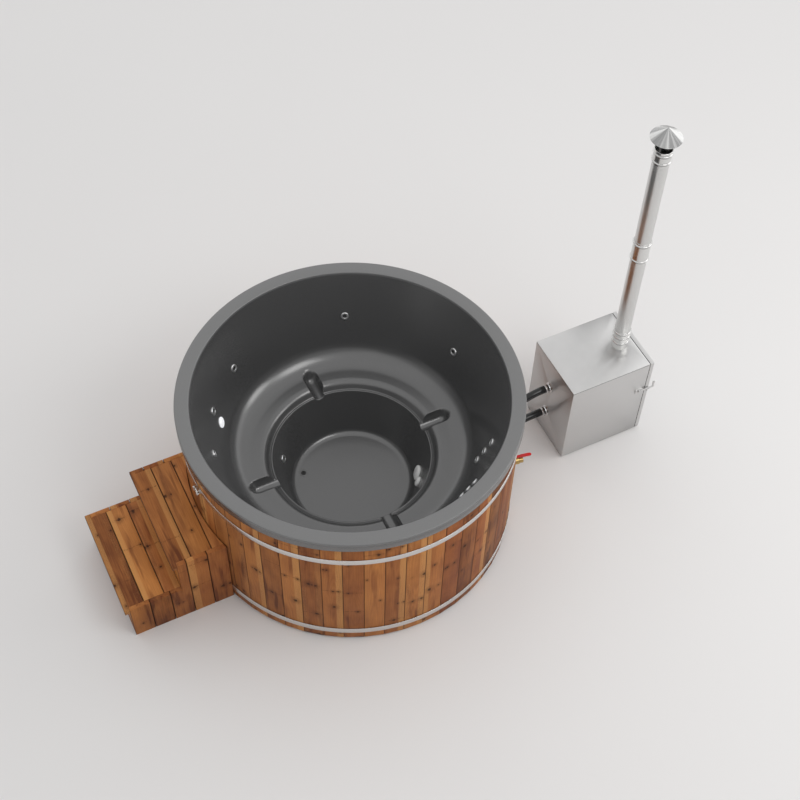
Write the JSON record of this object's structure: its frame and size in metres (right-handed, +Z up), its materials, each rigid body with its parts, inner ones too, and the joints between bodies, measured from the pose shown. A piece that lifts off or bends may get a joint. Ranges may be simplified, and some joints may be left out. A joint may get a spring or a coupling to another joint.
{
  "type": "wood-fired hot tub",
  "caption": "Round stave-walled hot tub with a moulded liner, jets, steel hoops, a wood-fired heater with door and flue, hoses, a drain valve and a pair of steps.",
  "frame": {"origin": "on the ground, under the centre of the tub", "axes": "+X from the steps through the tub to the heater, +Y to the left of that, +Z up"},
  "size_m": [3.542, 1.9998, 2.477],
  "materials": {
    "liner_plastic": "glossy grey acrylic with fine flecks",
    "stained_wood": "oiled orange-brown softwood with knots",
    "plain_wood": "sawn softwood",
    "band_steel": "bright rolled stainless band",
    "bright_steel": "polished stainless steel",
    "sheet_steel": "brushed stainless sheet",
    "black_plastic": "black moulded plastic",
    "white_plastic": "white moulded plastic",
    "brass": "cast and turned brass",
    "red_metal": "red coated lever",
    "black_rubber": "smooth black hose",
    "cast_iron": "sooty black plate",
    "white_fibre": "pale mineral fibre"
  },
  "bodies": {
    "tub": {"liner": "liner_plastic", "staves": "stained_wood", "hoop_upper": "band_steel", "hoop_lower": "band_steel", "hoop_lugs": "band_steel", "hoop_screws": "bright_steel", "base_joists": "plain_wood", "base_boards": "plain_wood", "well_beams": "plain_wood", "bench_posts": "plain_wood", "stave_ring": "plain_wood", "jet_bezels": "bright_steel", "jet_bodies": "black_plastic", "air_pipe": "black_plastic", "air_blower": "black_plastic", "lamp": "white_plastic", "water_covers": "white_plastic", "inner_pipes": "black_plastic", "tub_spigots": "sheet_steel", "drain_strainer": "sheet_steel", "drain_pipe": "black_plastic", "valve_body": "brass", "hose_upper": "black_rubber", "hose_lower": "black_rubber", "hose_clamps": "sheet_steel", "heater_body": "sheet_steel", "heater_feet": "sheet_steel", "firebox": "cast_iron", "front_frame": "sheet_steel", "grate": "cast_iron", "smoke_plate": "cast_iron", "heater_spigots": "sheet_steel", "hinge_leaves": "sheet_steel", "hinge_pins": "bright_steel", "latch_plate": "sheet_steel", "flue_spigot": "sheet_steel", "flue_base": "bright_steel", "flue_lower": "sheet_steel", "flue_socket": "bright_steel", "flue_upper": "sheet_steel", "flue_top": "bright_steel", "rain_cap": "bright_steel", "step_treads_low": "stained_wood", "step_treads_high": "stained_wood", "step_risers": "stained_wood", "step_side_near": "stained_wood", "step_side_far": "stained_wood", "step_frame": "plain_wood"},
    "heater_door": {"door_shell": "sheet_steel", "door_insulation": "white_fibre", "door_inner_plate": "cast_iron", "door_seal": "white_fibre", "door_knuckles": "sheet_steel", "door_stud": "bright_steel", "shutter_rails": "sheet_steel"},
    "latch": {"latch_lever": "bright_steel"},
    "shutter": {"air_shutter": "sheet_steel"},
    "drain_valve": {"valve_lever": "red_metal"}
  },
  "joints": [
    {"name": "door_hinge", "type": "hinge", "parent": "tub", "child": "heater_door", "pos_m": [1.912, 0.17, 0.35], "axis": [0, 0, 1], "range_deg": [0, 110]},
    {"name": "latch_pivot", "type": "hinge", "parent": "tub", "child": "latch", "pos_m": [1.853, -0.3093, 0.434], "axis": [0, -1, 0], "range_deg": [-6, 100]},
    {"name": "shutter_slide", "type": "slide", "parent": "heater_door", "child": "shutter", "axis": [0, 1, 0], "range_m": [0, 0.019]},
    {"name": "drain_lever", "type": "hinge", "parent": "tub", "child": "drain_valve", "pos_m": [1, -0.28, 0.154], "axis": [0, 0, 1], "range_deg": [-90, 0]}
  ]
}
